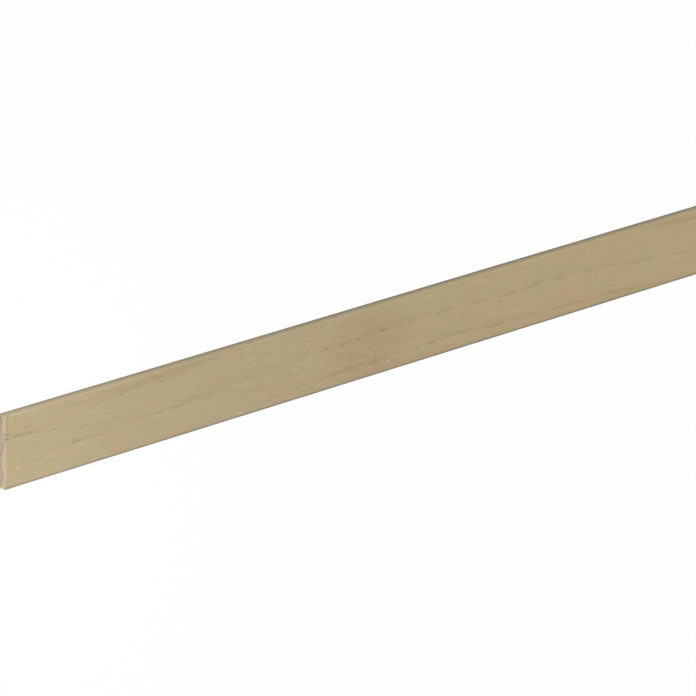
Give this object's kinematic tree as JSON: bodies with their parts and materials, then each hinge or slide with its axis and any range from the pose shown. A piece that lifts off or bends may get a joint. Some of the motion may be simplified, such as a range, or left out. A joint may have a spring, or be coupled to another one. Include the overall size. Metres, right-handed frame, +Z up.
{
  "type": "rectangular wood strip",
  "caption": "Flat rectangular strip of planed light hardwood with lightly eased long edges and square-cut ends.",
  "frame": {"origin": "middle of the underside, which is the wide face that the strip lies on", "axes": "+X along the grain and the length, +Y across the width, +Z up through the thickness"},
  "size_m": [1, 0.04, 0.005],
  "materials": {
    "wood": "planed and lightly sanded, unfinished, matt"
  },
  "bodies": {
    "root": {"wood_strip": "wood"}
  },
  "joints": []
}
